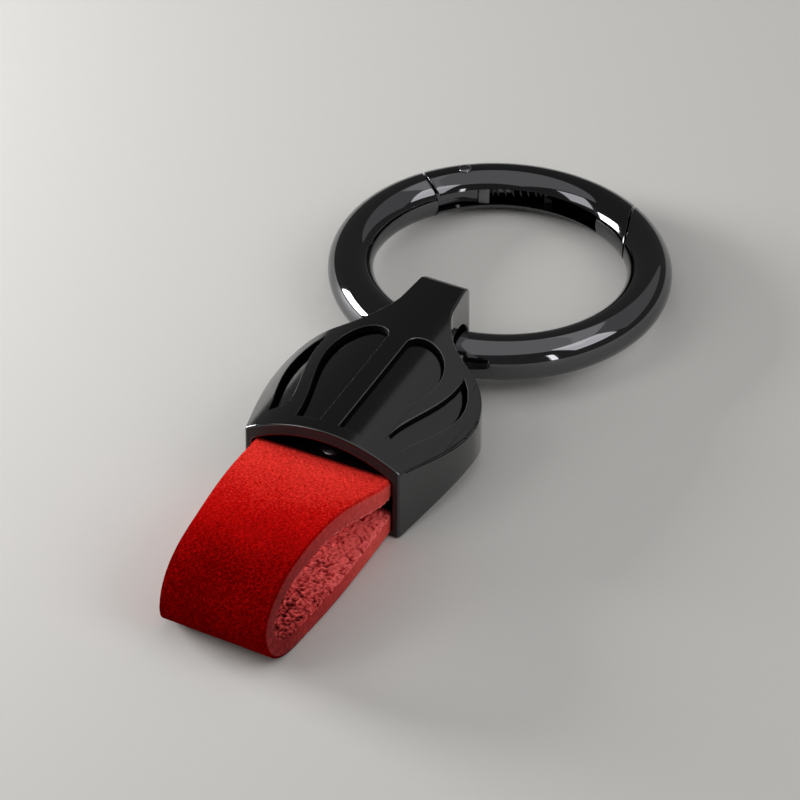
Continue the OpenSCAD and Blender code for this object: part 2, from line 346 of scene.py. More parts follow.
def build_handling_wear() -> bpy.types.NodeTree:
    """Build the group for handled metal: soft smudges, fine scratches and dust specks.

    Returns:
        The node group. It puts out a colour, a roughness and a height.
    """
    g = GroupBuilder("handling_wear")
    g.takes("Vector", "Vector")
    g.takes("Base Color", "Color", (0.1, 0.1, 0.1, 1))
    g.takes("Dust Color", "Color", (0.4, 0.4, 0.4, 1))
    g.takes("Roughness", "Float", 0.1)
    g.takes("Smudge", "Float", 0.05)
    g.takes("Scratch", "Float", 0.3)
    g.takes("Dust", "Float", 0.2)
    g.gives("Color", "Color")
    g.gives("Roughness", "Float")
    g.gives("Height", "Float")
    vector = g.entry.outputs["Vector"]
    smudge = g.node("TexNoise", in_Scale=260.0, in_Detail=4.0, in_Roughness=0.6)
    g.link(vector, smudge.inputs["Vector"])
    stretch = g.node("Mapping")
    stretch.inputs["Rotation"].default_value = (0.4, 0.3, 0.9)
    stretch.inputs["Scale"].default_value = (9000.0, 500.0, 2500.0)
    g.link(vector, stretch.inputs["Vector"])
    lines = g.node("TexNoise", in_Scale=1.0, in_Detail=2.0, in_Roughness=0.5)
    g.link(stretch.outputs[0], lines.inputs["Vector"])
    thin = g.node("MapRange", in_From_Min=0.66, in_From_Max=0.76)
    g.link(lines.outputs[0], thin.inputs["Value"])
    patch = g.node("TexNoise", in_Scale=420.0, in_Detail=2.0)
    g.link(vector, patch.inputs["Vector"])
    where = g.node("MapRange", in_From_Min=0.5, in_From_Max=0.68)
    g.link(patch.outputs[0], where.inputs["Value"])
    scratch = maths(g, "MULTIPLY", thin.outputs[0], where.outputs[0])
    scratch = maths(g, "MULTIPLY", scratch, g.entry.outputs["Scratch"])
    specks = g.node("TexVoronoi", in_Scale=1500.0)
    g.link(vector, specks.inputs["Vector"])
    speck = g.node("MapRange", in_From_Min=0.11, in_From_Max=0.04)
    g.link(specks.outputs["Distance"], speck.inputs["Value"])
    sparse = g.node("MapRange", in_From_Min=0.56, in_From_Max=0.72)
    g.link(patch.outputs[0], sparse.inputs["Value"])
    dust = maths(g, "MULTIPLY", speck.outputs[0], sparse.outputs[0])
    dust = maths(g, "MULTIPLY", dust, g.entry.outputs["Dust"])
    tint = g.node("Mix", data_type="RGBA")
    g.link(dust, tint.inputs["Factor"])
    g.link(g.entry.outputs["Base Color"], tint.inputs["A"])
    g.link(g.entry.outputs["Dust Color"], tint.inputs["B"])
    g.link(tint.outputs["Result"], g.exit.inputs["Color"])
    centred = maths(g, "SUBTRACT", smudge.outputs[0], 0.45)
    rough = maths(g, "MULTIPLY", centred, g.entry.outputs["Smudge"])
    rough = maths(g, "ADD", rough, g.entry.outputs["Roughness"])
    rough = maths(g, "ADD", rough, maths(g, "MULTIPLY", scratch, 0.35))
    rough = maths(g, "ADD", rough, maths(g, "MULTIPLY", dust, 0.5))
    g.link(maths(g, "MAXIMUM", rough, 0.02), g.exit.inputs["Roughness"])
    dip = maths(g, "MULTIPLY", scratch, -0.5)
    g.link(maths(g, "ADD", dip, maths(g, "MULTIPLY", dust, 0.6)), g.exit.inputs["Height"])
    return g.tree


def build_leather_nap() -> bpy.types.NodeTree:
    """Build the group for leather: fine pebbled nap, broad tone changes, and painted light and shade from the
    fibres, along the fold and inside the mouth.

    Returns:
        The node group. It puts out a colour, a roughness and a height.
    """
    g = GroupBuilder("leather_nap")
    g.takes("Vector", "Vector")
    g.takes("Light Color", "Color", (0.6, 0.02, 0.02, 1))
    g.takes("Middle Color", "Color", (0.4, 0.01, 0.01, 1))
    g.takes("Dark Color", "Color", (0.3, 0.0, 0.0, 1))
    g.takes("Nap Scale", "Float", 5000.0)
    g.takes("Contrast", "Float", 0.5)
    g.takes("Roughness", "Float", 0.7)
    g.takes("Fibre", "Float", 0.0)
    g.takes("Fibre Painted Shade", "Float", 0.0)
    g.takes("Fold Shade", "Float", 0.0)
    g.takes("Mouth Shade", "Float", 0.0)
    g.gives("Color", "Color")
    g.gives("Roughness", "Float")
    g.gives("Height", "Float")
    vector = g.entry.outputs["Vector"]
    nap = g.node("TexNoise", in_Detail=3.0, in_Roughness=0.62)
    g.link(vector, nap.inputs["Vector"])
    g.link(g.entry.outputs["Nap Scale"], nap.inputs["Scale"])
    cells = g.node("TexVoronoi", feature="F1")
    g.link(vector, cells.inputs["Vector"])
    g.link(maths(g, "MULTIPLY", g.entry.outputs["Nap Scale"], 0.55), cells.inputs["Scale"])
    broad = g.node("TexNoise", in_Scale=170.0, in_Detail=3.0)
    g.link(vector, broad.inputs["Vector"])
    spread = maths(g, "SUBTRACT", nap.outputs[0], 0.5)
    spread = maths(g, "MULTIPLY", spread, maths(g, "MULTIPLY", g.entry.outputs["Contrast"], 3.0))
    slow = maths(g, "MULTIPLY", maths(g, "SUBTRACT", broad.outputs[0], 0.5), 0.25)
    mix = maths(g, "ADD", maths(g, "ADD", spread, slow), 0.5)
    # Painted light and shade: the fibre height lightens the colour on the clumps and darkens it in the pits
    # between them.
    clump = maths(g, "MULTIPLY", g.entry.outputs["Fibre"], g.entry.outputs["Fibre Painted Shade"])
    mix = maths(g, "ADD", mix, clump)
    # Painted light and shade: subtracting the fold value lightens the strap near the mouth and darkens it towards
    # the fold.
    mix = maths(g, "SUBTRACT", mix, g.entry.outputs["Fold Shade"])
    deep = g.node("Mix", data_type="RGBA", clamp_factor=True)
    g.link(maths(g, "MULTIPLY", mix, 2.0), deep.inputs["Factor"])
    g.link(g.entry.outputs["Dark Color"], deep.inputs["A"])
    g.link(g.entry.outputs["Middle Color"], deep.inputs["B"])
    tint = g.node("Mix", data_type="RGBA", clamp_factor=True)
    g.link(maths(g, "SUBTRACT", maths(g, "MULTIPLY", mix, 2.0), 1.0), tint.inputs["Factor"])
    g.link(deep.outputs["Result"], tint.inputs["A"])
    g.link(g.entry.outputs["Light Color"], tint.inputs["B"])
    # Painted shadow: fades to near black where the strap runs into the shade inside the mouth.
    mouth_shaded = g.node("Mix", data_type="RGBA", clamp_factor=True)
    g.link(g.entry.outputs["Mouth Shade"], mouth_shaded.inputs["Factor"])
    g.link(tint.outputs["Result"], mouth_shaded.inputs["A"])
    mouth_shaded.inputs["B"].default_value = (0.004, 0.002, 0.002, 1)
    g.link(mouth_shaded.outputs["Result"], g.exit.inputs["Color"])
    rough = maths(g, "MULTIPLY", maths(g, "SUBTRACT", nap.outputs[0], 0.5), 0.3)
    g.link(maths(g, "ADD", rough, g.entry.outputs["Roughness"]), g.exit.inputs["Roughness"])
    pebble = maths(g, "MULTIPLY", cells.outputs["Distance"], 0.6)
    g.link(maths(g, "ADD", nap.outputs[0], pebble), g.exit.inputs["Height"])
    return g.tree


# ---------------------------------------------------------------- finishes


class Palette:
    """The shared node groups, built once each."""

    def __init__(self) -> None:
        """Build the groups that the finishes share."""
        self.handling_wear = build_handling_wear()
        self.leather_nap = build_leather_nap()


@dataclass(frozen=True)
class MetalFinish:
    """Plated or turned metal with handling wear."""

    name: str
    colour: Colour
    roughness: float
    metallic: float = 1.0
    smudge: float = 0.06
    scratch: float = 0.3
    dust: float = 0.15
    bump: float = 0.15
    coat: float = 0.0
    specular: float = 0.5

    def material(self, palette: Palette) -> bpy.types.Material:
        """Make the material.

        Args:
            palette: The shared node groups.

        Returns:
            A material that reads Object coordinates.
        """
        made = bpy.data.materials.new(self.name)
        made.use_nodes = True
        tree = made.node_tree
        shader = tree.nodes["Principled BSDF"]
        shader.inputs["Metallic"].default_value = self.metallic
        shader.inputs["Coat Weight"].default_value = self.coat
        shader.inputs["Coat Roughness"].default_value = 0.08
        shader.inputs["Specular IOR Level"].default_value = self.specular
        place = add_node(tree, "TexCoord")
        wear = tree.nodes.new("ShaderNodeGroup")
        wear.node_tree = palette.handling_wear
        wear.inputs["Base Color"].default_value = (*self.colour, 1)
        wear.inputs["Dust Color"].default_value = (0.34, 0.34, 0.33, 1)
        wear.inputs["Roughness"].default_value = self.roughness
        wear.inputs["Smudge"].default_value = self.smudge
        wear.inputs["Scratch"].default_value = self.scratch
        wear.inputs["Dust"].default_value = self.dust
        relief = add_node(tree, "Bump", in_Strength=self.bump, in_Distance=0.02 * MM)
        links = tree.links
        links.new(place.outputs["Object"], wear.inputs["Vector"])
        links.new(wear.outputs["Color"], shader.inputs["Base Color"])
        links.new(wear.outputs["Roughness"], shader.inputs["Roughness"])
        links.new(wear.outputs["Height"], relief.inputs["Height"])
        links.new(relief.outputs[0], shader.inputs["Normal"])
        return made


@dataclass(frozen=True)
class LeatherFinish:
    """One surface of the strap: dyed grain, cut edge or rough flesh side."""

    name: str
    light: Colour
    middle: Colour
    dark: Colour
    nap_scale: float
    contrast: float
    roughness: float
    bump: float
    depth: float
    sheen: float = 0.2
    sheen_tint: Colour = (1.0, 0.35, 0.3)
    fibre_painted_shade: float = 0.0
    specular: float = 0.05

    def material(self, palette: Palette) -> bpy.types.Material:
        """Make the material.

        Args:
            palette: The shared node groups.

        Returns:
            A material that reads Object coordinates and the strap's own attributes.
        """
        made = bpy.data.materials.new(self.name)
        made.use_nodes = True
        tree = made.node_tree
        shader = tree.nodes["Principled BSDF"]
        shader.inputs["Specular IOR Level"].default_value = self.specular
        shader.inputs["Sheen Weight"].default_value = self.sheen
        shader.inputs["Sheen Roughness"].default_value = 0.45
        shader.inputs["Sheen Tint"].default_value = (*self.sheen_tint, 1)
        place = add_node(tree, "TexCoord")
        nap = tree.nodes.new("ShaderNodeGroup")
        nap.node_tree = palette.leather_nap
        nap.inputs["Light Color"].default_value = (*self.light, 1)
        nap.inputs["Middle Color"].default_value = (*self.middle, 1)
        nap.inputs["Dark Color"].default_value = (*self.dark, 1)
        nap.inputs["Nap Scale"].default_value = self.nap_scale
        nap.inputs["Contrast"].default_value = self.contrast
        nap.inputs["Roughness"].default_value = self.roughness
        nap.inputs["Fibre Painted Shade"].default_value = self.fibre_painted_shade
        fibre = add_node(tree, "Attribute", attribute_name="fibre")
        fold_shade = add_node(tree, "Attribute", attribute_name="fold_shade")
        mouth_shade = add_node(tree, "Attribute", attribute_name="mouth_shade")
        relief = add_node(tree, "Bump", in_Strength=self.bump, in_Distance=self.depth)
        links = tree.links
        links.new(place.outputs["Object"], nap.inputs["Vector"])
        links.new(fibre.outputs["Fac"], nap.inputs["Fibre"])
        links.new(fold_shade.outputs["Fac"], nap.inputs["Fold Shade"])
        links.new(mouth_shade.outputs["Fac"], nap.inputs["Mouth Shade"])
        links.new(nap.outputs["Color"], shader.inputs["Base Color"])
        links.new(nap.outputs["Roughness"], shader.inputs["Roughness"])
        links.new(nap.outputs["Height"], relief.inputs["Height"])
        links.new(relief.outputs[0], shader.inputs["Normal"])
        return made


CAST_BLACK = MetalFinish("cast_black_plate", (0.062, 0.062, 0.064), 0.12, smudge=0.1,
                         scratch=0.25, dust=0.3, coat=0.5)
# Painted shade: a darker, duller copy of the casting's finish for the front face of the mouth.
MOUTH_PAINTED_SHADE = MetalFinish("mouth_face_painted_shade", (0.022, 0.022, 0.023), 0.5, metallic=0.0,
                          specular=0.16, dust=0.3)
# Painted shade: near black for the walls and feet of the petal recesses.
RECESS_PAINTED_SHADE = MetalFinish("recess_wall_painted_shade", (0.003, 0.003, 0.003), 0.5, metallic=0.0,
                           specular=0.02, dust=0.0)
# Painted highlight: a lighter finish on the rims of the petals for their bright lines.
RIM_PAINTED_HIGHLIGHT = MetalFinish("rim_painted_highlight", (0.16, 0.16, 0.164), 0.32, smudge=0.1, dust=0.0)
BLACK_CHROME = MetalFinish("black_chrome", (0.13, 0.13, 0.137), 0.05, smudge=0.05, scratch=0.2,
                           dust=0.1)
GATE_CHROME = MetalFinish("gate_black_chrome", (0.1, 0.1, 0.106), 0.06, smudge=0.05,
                          scratch=0.25, dust=0.1)
PIN_STEEL = MetalFinish("pin_polished", (0.2, 0.2, 0.21), 0.1, scratch=0.3)
TURNED_STEEL = MetalFinish("turned_steel", (0.62, 0.62, 0.64), 0.22, smudge=0.15, scratch=0.6)
SCREW_STEEL = MetalFinish("screw_black_zinc", (0.12, 0.12, 0.13), 0.32, smudge=0.15, scratch=0.6)
PLUNGER_STEEL = MetalFinish("plunger_steel", (0.26, 0.26, 0.27), 0.25, scratch=0.5)
SPRING_STEEL = MetalFinish("spring_wire", (0.09, 0.09, 0.095), 0.3, scratch=0.3)
# The grain's light and dark colours also span the painted fold shade.
GRAIN_LEATHER = LeatherFinish("leather_grain", (0.95, 0.05, 0.036), (0.46, 0.0035, 0.003),
                              (0.11, 0.0001, 0.0002), 4300.0, 0.36, 0.7, 0.9, 0.16 * MM,
                              sheen=0.0, specular=0.0)
EDGE_LEATHER = LeatherFinish("leather_cut_edge", (0.8, 0.09, 0.075), (0.46, 0.03, 0.028),
                             (0.16, 0.002, 0.003), 2200.0, 0.3, 0.5, 0.5, 0.1 * MM,
                             sheen=0.03, specular=0.08)
# Fibre painted shade: the flesh side's colour is lighter on fibre clumps and darker in the pits.
FLESH_LEATHER = LeatherFinish("leather_flesh", (1.0, 0.17, 0.16), (0.55, 0.05, 0.05),
                              (0.04, 0.0003, 0.001), 3000.0, 0.5, 0.85, 0.9, 0.2 * MM,
                              sheen=0.05, fibre_painted_shade=0.85)


def dress(piece: bpy.types.Object, finishes: Iterable, palette: Palette) -> None:
    """Give a piece its materials, in slot order.

    Args:
        piece: The piece to dress.
        finishes: The finishes of its material slots.
        palette: The shared node groups.
    """
    for finish in finishes:
        found = bpy.data.materials.get(finish.name)
        piece.data.materials.append(found or finish.material(palette))


def settle(piece: bpy.types.Object, body: str, slot: str, *nodes: str) -> None:
    """Make a finished piece ride on a body and stand for CAD nodes, and report it.

    Args:
        piece: The finished piece.
        body: The CAD body that it moves with.
        slot: The record's material slot; not used.
        nodes: The CAD nodes that it replaces.
    """
    deselect_all()
    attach(piece, body)
    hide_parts(*nodes)
    LOG.info("%s: %d faces, on %s", piece.name, len(piece.data.polygons), body)


# ---------------------------------------------------------------- end fitting


@dataclass
class EndFitting:
    """The cast fitting with its rounded edges, and the post and screw that clamp the strap."""

    edge_round: float = 0.2 * MM
    rim_round: float = 0.09 * MM
    foot_round: float = 0.08 * MM
    small_round: float = 0.06 * MM
    recess_depth: float = 0.6 * MM
    crown_r: float = 15.2 * MM
    sharp: float = math.radians(30)

    def build_body(self, palette: Palette) -> bpy.types.Object:
        """Round the edges of a copy of the casting, the rims of the petals more finely.

        Args:
            palette: The shared node groups.

        Returns:
            The finished casting.
        """
        body = copy_of_node("fitting_body", "end_fitting")
        dress(body, [CAST_BLACK, RECESS_PAINTED_SHADE, RIM_PAINTED_HIGHLIGHT, MOUTH_PAINTED_SHADE], palette)
        apply_modifier(body, "DECIMATE", decimate_type="DISSOLVE", angle_limit=math.radians(0.4))
        low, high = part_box("fitting_body")
        axis_z = high.z - self.crown_r
        neck = low.y + 0.67 * (high.y - low.y)

        def recess_wall(face: bmesh.types.BMFace) -> bool:
            """Say whether a face is part of the wall of a petal recess."""
            spots = [Vector((v.co.x, 0, v.co.z - axis_z)) for v in face.verts]
            middle = face.calc_center_median()
            return (abs(face.normal.z) < 0.3 and low.y + 1 * MM < middle.y < neck
                    and middle.z > 0.45 * high.z
                    and min(spot.length for spot in spots) > self.crown_r - 1.1 * self.recess_depth)

        def sharp(edge: bmesh.types.BMEdge) -> bool:
            """Say whether the two faces at an edge meet at a corner."""
            return len(edge.link_faces) == 2 and edge.calc_face_angle() > self.sharp

        def at_recess(edge: bmesh.types.BMEdge) -> bool:
            """Say whether an edge is the rim or the foot of a recess wall."""
            return sharp(edge) and any(recess_wall(face) for face in edge.link_faces)

        edit(body)
        select_where(body, Element.EDGE, lambda e: sharp(e) and not at_recess(e))
        bpy.ops.mesh.bevel(offset=self.edge_round, segments=3, affect="EDGES",
                           clamp_overlap=False, miter_outer="ARC")
        # The recess walls get the painted shade finish.
        select_where(body, Element.FACE, recess_wall)
        mesh = bmesh.from_edit_mesh(body.data)
        for face in mesh.faces:
            face.material_index = 1 if face.select else 0
        bmesh.update_edit_mesh(body.data)
        # The rounded feet of the walls get the painted shade finish as well.
        select_where(body, Element.EDGE, lambda e: at_recess(e) and not e.is_convex)
        bpy.ops.mesh.bevel(offset=self.foot_round, segments=2, affect="EDGES",
                           clamp_overlap=False, material=1)
        # The rounded rims get the painted highlight finish.
        select_where(body, Element.EDGE, lambda e: at_recess(e) and e.is_convex)
        bpy.ops.mesh.bevel(offset=self.rim_round, segments=2, affect="EDGES",
                           clamp_overlap=False, material=2)
        bpy.ops.object.mode_set(mode="OBJECT")
        shade(body, 40)
        apply_modifier(body, "WEIGHTED_NORMAL", mode="FACE_AREA", weight=50, keep_sharp=True)
        self.true_crown(body)
        return body

    def true_crown(self, body: bpy.types.Object) -> None:
        """Give the crown and the floors of its recesses the normals of their cylinders.

        Args:
            body: The rounded casting.
        """
        mesh = body.data
        axis_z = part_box("fitting_body")[1].z - self.crown_r
        radii = (self.crown_r, self.crown_r - self.recess_depth)
        near = 0.03 * MM

        def radial(spot: Vector) -> Vector:
            """Direction away from the axis of the crown."""
            return Vector((spot.x, 0, spot.z - axis_z)).normalized()

        on_crown = set()
        for face in mesh.polygons:
            if face.normal.dot(radial(face.center)) < 0.998:
                continue
            for index in face.vertices:
                spot = mesh.vertices[index].co
                reach = math.hypot(spot.x, spot.z - axis_z)
                if min(abs(reach - radius) for radius in radii) < near:
                    on_crown.add(index)
        normals = []
        for corner, loop in zip(mesh.corner_normals, mesh.loops):
            if loop.vertex_index in on_crown:
                normals.append(radial(mesh.vertices[loop.vertex_index].co))
            else:
                normals.append(corner.vector.copy())
        mesh.normals_split_custom_set(normals)

    def build_small(self, node: str, name: str) -> bpy.types.Object:
        """Round the edges of a copy of a small turned part.

        Args:
            node: The CAD node to copy.
            name: Name of the new piece.

        Returns:
            The finished part.
        """
        part = copy_of_node(node, name)
        apply_modifier(part, "DECIMATE", decimate_type="DISSOLVE", angle_limit=math.radians(0.4))
        bevel_sharp(part, self.small_round, 2, 40)
        shade(part, 40)
        return part

    def build(self, palette: Palette) -> None:
        """Build, dress and place the casting, the post and the screw.

        Args:
            palette: The shared node groups.
        """
        body = self.build_body(palette)
        mouth_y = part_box("fitting_body")[0].y
        # The front face of the mouth gets the painted shade finish.
        for face in body.data.polygons:
            if face.normal.y < -0.98 and face.center.y < mouth_y + self.edge_round:
                face.material_index = 3
        settle(body, "holder", "casting", "fitting_body")
        post = self.build_small("clamp_post", "strap_post")
        dress(post, [TURNED_STEEL], palette)
        settle(post, "holder", "bright_steel", "clamp_post")
        screw = self.build_small("clamp_screw", "strap_screw")
        dress(screw, [SCREW_STEEL], palette)
        settle(screw, "holder", "screw_steel", "clamp_screw")


# ---------------------------------------------------------------- leather strap


@dataclass(frozen=True)
class StrapEdge:
    """One long edge of the loop: its middle line, a chain of cubic curves, and its half width."""

    loop_l: float
    loop_h: float
    top_share: float
    lift: float
    crest: float
    nose: float
    toe: float
    fold_half: float
    full_half: float = 7.3 * MM
    thickness: float = 2.2 * MM
    upper_z: float = 5.65 * MM
    lower_z: float = 1.95 * MM
    inside: float = 9.0 * MM
    sag: float = 0.25 * MM
    fold_at: float = 0.45
    fold_spread: float = 0.3

    def chain(self) -> list[tuple[Vector, ...]]:
        """List the curve pieces from the end of the upper strand to that of the lower one.

        Returns:
            Tuples of four points; X is along the strap from the mouth, Y is height.
        """
        half = self.thickness / 2
        bend = half - self.loop_l
        top = -self.top_share * self.loop_l
        high = self.loop_h - half
        upper, lower, deep = self.upper_z, self.lower_z, self.inside
        nose, heel, low = self.nose * high, 0.785 * bend, half + self.sag
        rows = (
            ((deep, upper), (0.66 * deep, upper), (0.33 * deep, upper), (0, upper)),
            ((0, upper), (0.21 * top, upper + 0.1 * MM), (self.lift * top, high), (top, high)),
            ((top, high), (0.4 * top + 0.6 * bend, high), (bend, self.crest * high), (bend, nose)),
            ((bend, nose), (bend, self.toe * high), (0.9 * bend, half), (heel, half)),
            ((heel, half), (0.5 * bend, half), (0.12 * bend, half), (0, low)),
            ((0, low), (0.1 * deep, lower), (0.3 * deep, lower), (deep, lower)),
        )
        return [tuple(Vector(point) for point in row) for row in rows]

    def half_width(self, share: float) -> float:
        """Half width of the strap at a share of its length: less at the fold."""
        away = min(abs(share - self.fold_at) / self.fold_spread, 1)
        return self.full_half - (self.full_half - self.fold_half) * math.cos(math.pi / 2 * away)**2

    def samples(self, count: int) -> list[Vector]:
        """Walk along the whole line in equal steps.

        Args:
            count: Number of points to give.

        Returns:
            The points, equally spaced along the line.
        """
        dense = []
        for a, b, c, d in self.chain():
            for i in range(60):
                t = i / 60
                s = 1 - t
                dense.append(a * s**3 + b * 3 * s * s * t + c * 3 * s * t * t + d * t**3)
        dense.append(self.chain()[-1][3])
        reach = [0.0]
        for first, second in zip(dense, dense[1:]):
            reach.append(reach[-1] + (second - first).length)
        points, at = [], 0
        for k in range(count):
            want = reach[-1] * k / (count - 1)
            while at < len(reach) - 2 and reach[at + 1] < want:
                at += 1
            span = max(reach[at + 1] - reach[at], 1e-12)
            points.append(dense[at].lerp(dense[at + 1], min((want - reach[at]) / span, 1.0)))
        return points


@dataclass
class LeatherStrap:
    """The folded strap: a flat strip with rounded edges, bent round the loop."""

    width: float = 14.6 * MM
    thickness: float = 2.2 * MM
    left: StrapEdge = StrapEdge(22.6 * MM, 8.6 * MM, 0.69, 0.58, 0.84, 0.46, 0.15, 5.7 * MM)
    right: StrapEdge = StrapEdge(24.3 * MM, 10.15 * MM, 0.54, 0.56, 0.8, 0.56, 0.25, 6.35 * MM)
    steps_along: int = 430
    steps_across: int = 90
    edge_round: float = 0.45 * MM
    # Painted shadow on the strap inside the mouth: it fades in over this depth behind the mouth plane.
    mouth_shade_fade: float = 0.5 * MM
    # Painted fold shade: its value at the mouth, where it lightens, and how much it grows towards the fold.
    fold_shade_at_mouth: float = -0.36
    fold_shade_span: float = 0.8

    def flat_strip(self) -> bpy.types.Object:
        """Make the flat strip with its thickness and rounded long edges.

        Returns:
            The strip, 1 m along X stands for the whole length, Y across, Z thickness.
        """
        deselect_all()
        bpy.ops.mesh.primitive_grid_add(
            x_subdivisions=self.steps_along, y_subdivisions=self.steps_across, size=1)
        strip = started("leather_strap_loop")
        strip.data.transform(Matrix.Diagonal((1, self.width, 1, 1)))
        apply_modifier(strip, "SOLIDIFY", thickness=self.thickness, offset=0)
        edit(strip)
        half_w, half_t = self.width / 2, self.thickness / 2

        def long_edge(edge: bmesh.types.BMEdge) -> bool:
            """Say whether an edge is one of the four long corners of the strip."""
            return all(abs(abs(v.co.y) - half_w) < 1e-6 and abs(abs(v.co.z) - half_t) < 1e-6
                       for v in edge.verts) and abs(edge.verts[0].co.x - edge.verts[1].co.x) > 1e-6

        select_where(strip, Element.EDGE, long_edge)
        bpy.ops.mesh.bevel(offset=self.edge_round, segments=4, affect="EDGES")
        bpy.ops.object.mode_set(mode="OBJECT")
        return strip

    def paint(self, strip: bpy.types.Object) -> None:
        """Give each face of the flat strip its leather surface.

        Args:
            strip: The strip, still flat.
        """
        side = self.thickness / 2 - 0.6 * self.edge_round
        for face in strip.data.polygons:
            z = face.center.z
            if z > side:
                face.material_index = StrapFace.GRAIN.value
            elif z < -side:
                face.material_index = StrapFace.FLESH.value
            else:
                face.material_index = StrapFace.EDGE.value

    def bend(self, strip: bpy.types.Object) -> None:
        """Bend the flat strip round the loop, the grain side outwards.

        Args:
            strip: The flat strip.
        """
        count = 600
        mouth_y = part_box("fitting_body")[0].y
        lines = [edge.samples(count) for edge in (self.left, self.right)]
        for vertex in strip.data.vertices:
            reach = min(max(vertex.co.x + 0.5, 0.0), 1.0)
            u = reach * (count - 1)
            i = min(int(u), count - 2)
            share = vertex.co.y / self.width + 0.5
            ends = [line[i].lerp(line[i + 1], u - i) for line in lines]
            spot = ends[0].lerp(ends[1], share)
            ways = [line[i + 1] - line[max(i - 1, 0)] for line in lines]
            way = ways[0].lerp(ways[1], share).normalized()
            out = Vector((-way.y, way.x)) * -1
            place = spot + out * vertex.co.z
            across = -self.left.half_width(reach) * (1 - share) + self.right.half_width(reach) * share
            vertex.co = (across, mouth_y + place.x, place.y)

    def fibre(self, spot: Vector) -> float:
        """Height of the fibres at a place in mm: strands and clumps with pits, -1 to 1."""
        drift = spot + 0.5 * noise.noise_vector(spot * 1.3)
        near, _ = noise.voronoi(drift * 2.1)
        clump = min((near[1] - near[0]) * 1.8, 1.0)
        strand = 1 - 2.6 * abs(noise.noise(drift * 1.7))
        fine = noise.noise(spot * 5.5)
        return max(-1.0, min(1.0, 0.55 * strand + 0.6 * clump + 0.45 * fine - 0.3))

    def painted_fold_shade(self, spot: Vector, mouth_y: float) -> float:
        """How far painted shade darkens the leather: it lightens at the mouth, and darkens most at the fold, which
        turns away from the light.
        """
        along = min(max((mouth_y - spot.y) / self.right.loop_l, 0.0), 1.0)
        return self.fold_shade_at_mouth + self.fold_shade_span * min(along / 0.85, 1.0) ** 1.3

    def roughen(self, strip: bpy.types.Object) -> None:
        """Raise the fibres, and store fibres, the painted fold shade and the painted shadow inside the mouth on
        the mesh.

        Args:
            strip: The bent strip.
        """
        mesh = strip.data
        depth = {StrapFace.GRAIN.value: 0.015 * MM, StrapFace.EDGE.value: 0.01 * MM,
                 StrapFace.FLESH.value: 0.26 * MM}
        amount = [1.0] * len(mesh.vertices)
        for face in mesh.polygons:
            for index in face.vertices:
                amount[index] = min(amount[index], depth[face.material_index])
        mouth_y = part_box("fitting_body")[0].y
        heights = [self.fibre(vertex.co / MM) for vertex in mesh.vertices]
        # Painted fold shade for every vertex, by its distance from the mouth.
        fold_shades = [self.painted_fold_shade(vertex.co, mouth_y) for vertex in mesh.vertices]
        # Painted shadow inside the mouth: 0 at the mouth plane, 1 a little way in.
        mouth_shades = [min(max((vertex.co.y - mouth_y) / self.mouth_shade_fade, 0.0), 1.0)
                for vertex in mesh.vertices]
        normals = [vertex.normal.copy() for vertex in mesh.vertices]
        for vertex, normal, deep, height in zip(mesh.vertices, normals, amount, heights):
            vertex.co += normal * (deep * height)
        for name, values in (("fibre", heights), ("fold_shade", fold_shades), ("mouth_shade", mouth_shades)):
            mesh.attributes.new(name, "FLOAT", "POINT").data.foreach_set("value", values)

    def build(self, palette: Palette) -> None:
        """Build, dress and place the strap.

        Args:
            palette: The shared node groups.
        """
        strip = self.flat_strip()
        self.paint(strip)
        self.bend(strip)
        self.roughen(strip)
        recalculate(strip)
        shade(strip, 60)
        dress(strip, [GRAIN_LEATHER, EDGE_LEATHER, FLESH_LEATHER], palette)
        settle(strip, "holder", "leather", "leather_strap")


# ---------------------------------------------------------------- spring-gate ring


@dataclass
class RingFrame:
    """Where the ring lies at rest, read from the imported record."""

    centre: Vector = field(init=False)
    axis: Vector = field(init=False)
    pin: Vector = field(init=False)
    place: Matrix = field(init=False)
    ring_r: float = field(init=False)
    pin_angle: float = field(init=False)

    def __post_init__(self) -> None:
        """Work out the frame of the ring from its mount and its gate joint."""
        record = frame["record"]
        opening = next(m for m in record["mounts"] if m["name"] == "ring_opening")
        gate = next(j for j in frame["joints"] if j["name"] == "gate_open")
        self.centre = Vector(opening["pos_m"])
        self.axis = Vector(opening["axis"]).normalized()
        self.pin = Vector(gate["pos_m"])
        across = Vector((1, 0, 0))
        along = self.axis.cross(across)
        turn = Matrix((across, along, self.axis)).transposed().to_4x4()
        self.place = Matrix.Translation(self.centre) @ turn
        local = self.place.inverted() @ self.pin
        self.ring_r = math.hypot(local.x, local.y)
        self.pin_angle = math.atan2(local.y, local.x)


